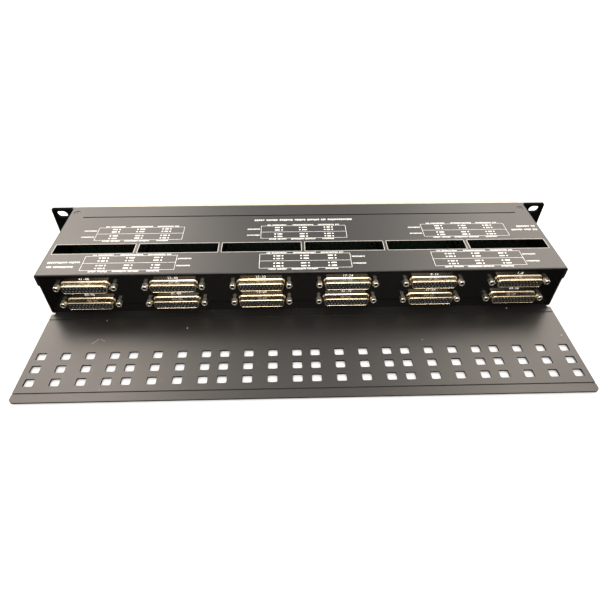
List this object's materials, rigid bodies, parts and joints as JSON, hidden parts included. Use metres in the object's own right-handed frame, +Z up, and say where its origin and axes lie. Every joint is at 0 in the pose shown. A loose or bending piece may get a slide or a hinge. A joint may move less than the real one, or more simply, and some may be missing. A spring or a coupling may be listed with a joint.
{
  "type": "audio patch bay",
  "caption": "One-unit rack patch bay with rows of miniature jacks, D-sub connectors at the rear, shunt windows in the cover and a perforated cable tray.",
  "frame": {"origin": "centre of the four rack slots, on the rear face of the front panel", "axes": "+X right seen from the front and along the panel, +Y towards the rear, +Z up"},
  "size_m": [0.4826, 0.2032, 0.0436],
  "materials": {
    "black_sheet": "satin black powder coat with a fine texture",
    "black_screw": "black oxide, slightly glossy",
    "rivet": "satin",
    "plated_steel": "bright nickel plate",
    "plated_shell": "yellowish chromate over tin plate",
    "nickel": "bright nickel plate on brass",
    "gold_contact": "thin gold plate",
    "black_plastic": "matte glass-filled plastic",
    "circuit_board": "dark solder mask, glossy",
    "ivory_plastic": "ivory extrusion, smooth",
    "label_paper": "cream card"
  },
  "bodies": {
    "frame": {"front_panel": "black_sheet", "jack_frame": "black_sheet", "base_tray": "black_sheet", "rear_panel": "black_sheet", "top_cover": "black_sheet", "cover_screws": "black_screw", "panel_screws": "black_screw", "tray_rivets": "rivet", "board_standoffs": "plated_steel", "board_screws": "plated_steel", "connector_shell_upper_a": "plated_shell", "connector_shell_upper_b": "plated_shell", "connector_shell_upper_c": "plated_shell", "connector_shell_upper_d": "plated_shell", "connector_shell_upper_e": "plated_shell", "connector_shell_upper_f": "plated_shell", "connector_shell_lower_a": "plated_shell", "connector_shell_lower_b": "plated_shell", "connector_shell_lower_c": "plated_shell", "connector_shell_lower_d": "plated_shell", "connector_shell_lower_e": "plated_shell", "connector_shell_lower_f": "plated_shell", "connector_insert_upper_a": "black_plastic", "connector_insert_upper_b": "black_plastic", "connector_insert_upper_c": "black_plastic", "connector_insert_upper_d": "black_plastic", "connector_insert_upper_e": "black_plastic", "connector_insert_upper_f": "black_plastic", "connector_insert_lower_a": "black_plastic", "connector_insert_lower_b": "black_plastic", "connector_insert_lower_c": "black_plastic", "connector_insert_lower_d": "black_plastic", "connector_insert_lower_e": "black_plastic", "connector_insert_lower_f": "black_plastic", "patch_board_a": "circuit_board", "patch_board_b": "circuit_board", "patch_board_c": "circuit_board", "patch_board_d": "circuit_board", "patch_board_e": "circuit_board", "patch_board_f": "circuit_board", "connector_contacts": "gold_contact", "jackscrews": "plated_steel", "connector_boards": "circuit_board", "header_strips": "black_plastic", "header_pins": "gold_contact", "jack_noses_upper": "nickel", "jack_noses_lower": "nickel", "jack_bodies_upper": "black_plastic", "jack_bodies_lower": "black_plastic", "jack_springs": "gold_contact", "label_holder_upper": "ivory_plastic", "label_holder_lower": "ivory_plastic"},
    "shunt_set_a": {"shunts_a": "black_plastic"},
    "shunt_set_b": {"shunts_b": "black_plastic"},
    "shunt_set_c": {"shunts_c": "black_plastic"},
    "shunt_set_d": {"shunts_d": "black_plastic"},
    "shunt_set_e": {"shunts_e": "black_plastic"},
    "shunt_set_f": {"shunts_f": "black_plastic"},
    "label_upper": {"label_strip_upper": "label_paper"},
    "label_lower": {"label_strip_lower": "label_paper"}
  },
  "joints": [
    {"name": "lift_shunts_a", "type": "slide", "parent": "frame", "child": "shunt_set_a", "axis": [0, 0, 1], "range_m": [0, 0.03]},
    {"name": "lift_shunts_b", "type": "slide", "parent": "frame", "child": "shunt_set_b", "axis": [0, 0, 1], "range_m": [0, 0.03]},
    {"name": "lift_shunts_c", "type": "slide", "parent": "frame", "child": "shunt_set_c", "axis": [0, 0, 1], "range_m": [0, 0.03]},
    {"name": "lift_shunts_d", "type": "slide", "parent": "frame", "child": "shunt_set_d", "axis": [0, 0, 1], "range_m": [0, 0.03]},
    {"name": "lift_shunts_e", "type": "slide", "parent": "frame", "child": "shunt_set_e", "axis": [0, 0, 1], "range_m": [0, 0.03]},
    {"name": "lift_shunts_f", "type": "slide", "parent": "frame", "child": "shunt_set_f", "axis": [0, 0, 1], "range_m": [0, 0.03]},
    {"name": "slide_label_upper", "type": "slide", "parent": "frame", "child": "label_upper", "axis": [1, 0, 0], "range_m": [0, 0.44]},
    {"name": "slide_label_lower", "type": "slide", "parent": "frame", "child": "label_lower", "axis": [1, 0, 0], "range_m": [0, 0.44]}
  ]
}
